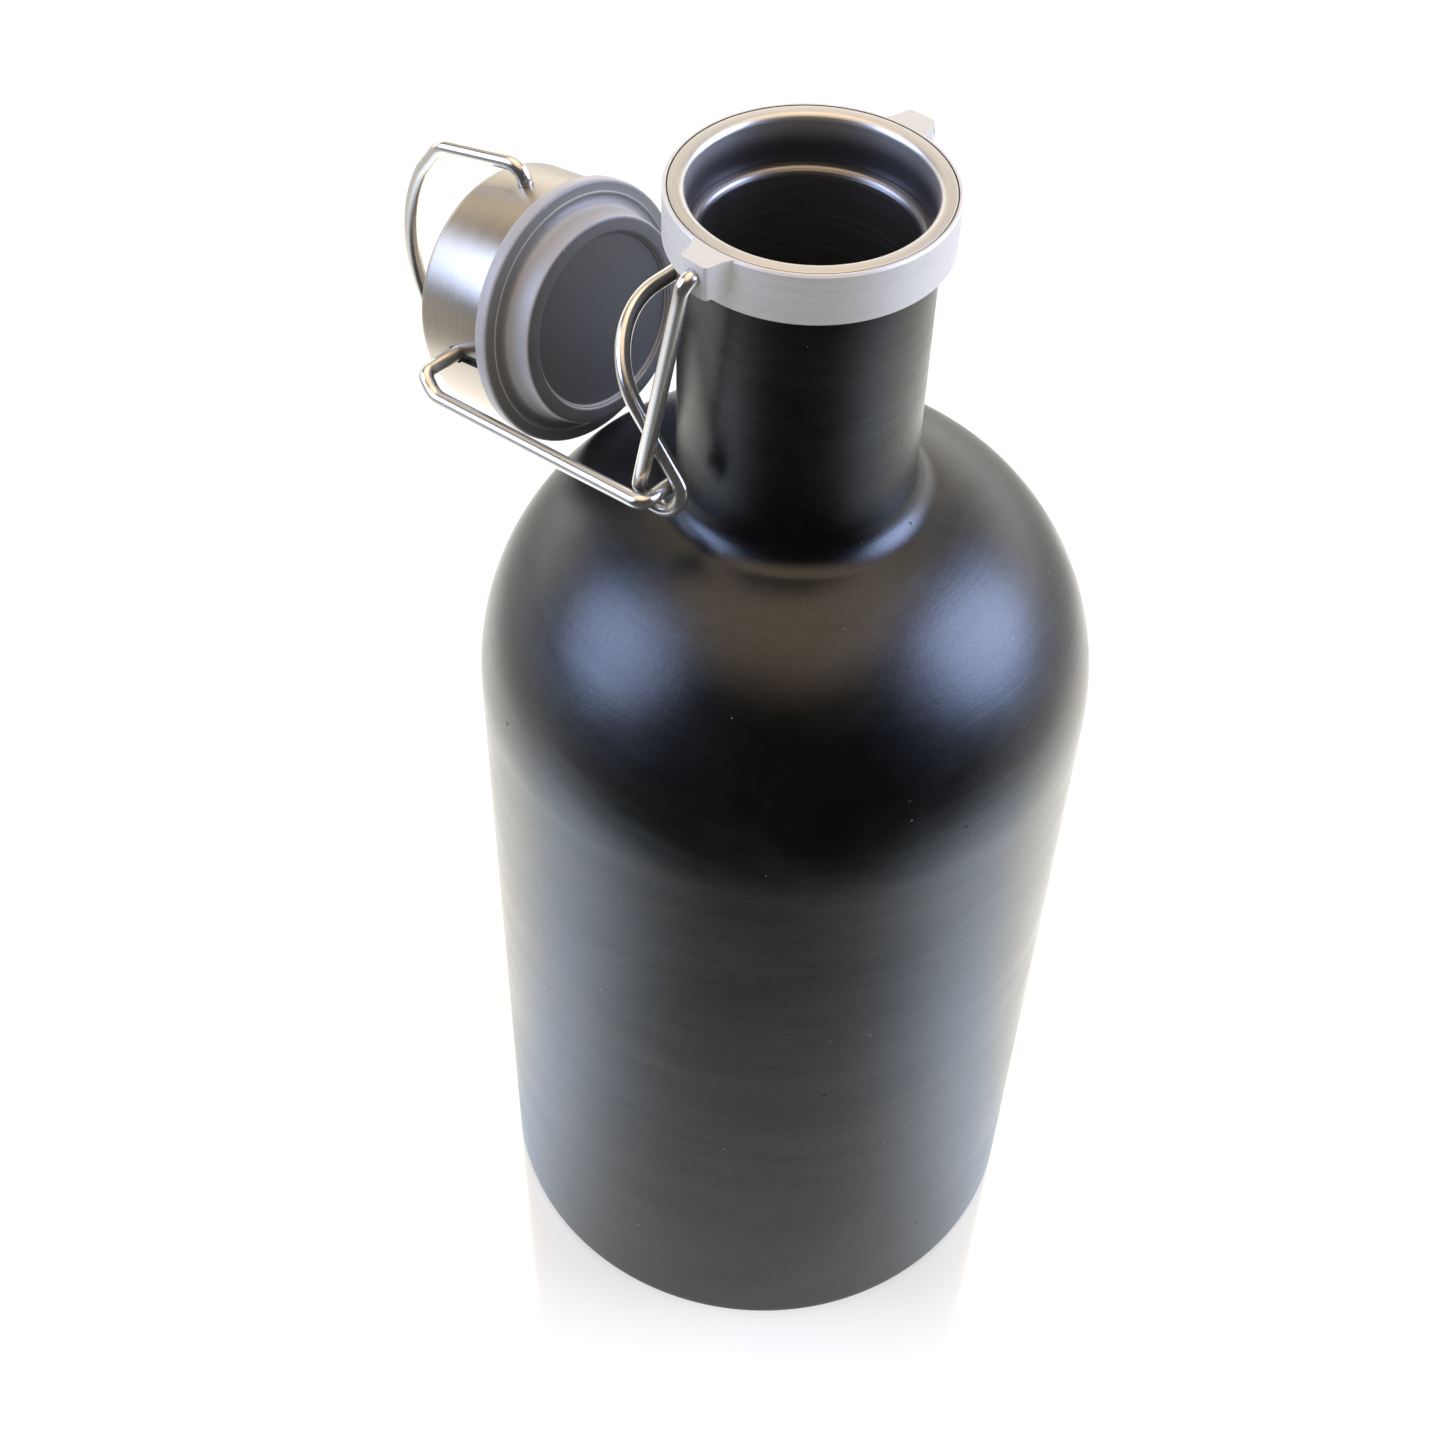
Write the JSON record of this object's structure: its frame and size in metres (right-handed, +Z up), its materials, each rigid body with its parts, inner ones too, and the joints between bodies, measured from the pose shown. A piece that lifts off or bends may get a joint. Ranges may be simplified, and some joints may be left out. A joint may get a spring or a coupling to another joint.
{
  "type": "insulated growler",
  "caption": "Double-wall steel growler with a narrow neck, a pivoting over-centre wire lever and a hinged stopper lid on a bail.",
  "frame": {"origin": "centre of the flat base, on the bottle's axis", "axes": "+Z up along the bottle's axis, out of the mouth; Y through the two pivot lugs; the open lid hangs towards -X"},
  "size_m": [0.1678, 0.127, 0.2855],
  "materials": {
    "black_coat": "matt powder coat",
    "steel_inside": "drawn stainless steel",
    "steel_brushed": "brushed stainless steel",
    "steel_wire": "polished stainless wire",
    "silicone": "satin moulded silicone",
    "carrier_plastic": "moulded plastic",
    "seal_glass": "fused solder bead",
    "getter": "sintered grey pellet"
  },
  "bodies": {
    "bottle": {"outer_shell": "black_coat", "outer_neck": "black_coat", "outer_bottom": "steel_inside", "base_cover": "black_coat", "evacuation_seal": "seal_glass", "inner_wall": "steel_inside", "inner_neck": "steel_inside", "inner_bottom": "steel_inside", "getter": "getter", "getter_clip": "steel_inside", "mouth_ring": "steel_brushed", "neck_collar": "steel_brushed"},
    "lever": {"lever_wire": "steel_wire"},
    "bail": {"bail_wire": "steel_wire"},
    "lid": {"lid_cap": "steel_brushed", "lid_core": "carrier_plastic", "lid_stopper": "silicone"},
    "loop": {"lid_loop": "steel_wire"}
  },
  "joints": [
    {"name": "lever_pivot", "type": "hinge", "parent": "bottle", "child": "lever", "pos_m": [0, 0, 0.2825], "axis": [0, 1, 0], "range_deg": [0, 150]},
    {"name": "bail_swing", "type": "hinge", "parent": "lever", "child": "bail", "pos_m": [-0.0067, 0, 0.2318], "axis": [0, 1, 0], "range_deg": [0, 42]},
    {"name": "lid_tilt", "type": "hinge", "parent": "bail", "child": "lid", "pos_m": [-0.0676, 0, 0.2271], "axis": [0, 1, 0], "range_deg": [0, 15]},
    {"name": "loop_swing", "type": "hinge", "parent": "lid", "child": "loop", "pos_m": [-0.0676, 0, 0.2271], "axis": [-0.1736, 0, 0.9848], "range_deg": [-68, 52]}
  ]
}
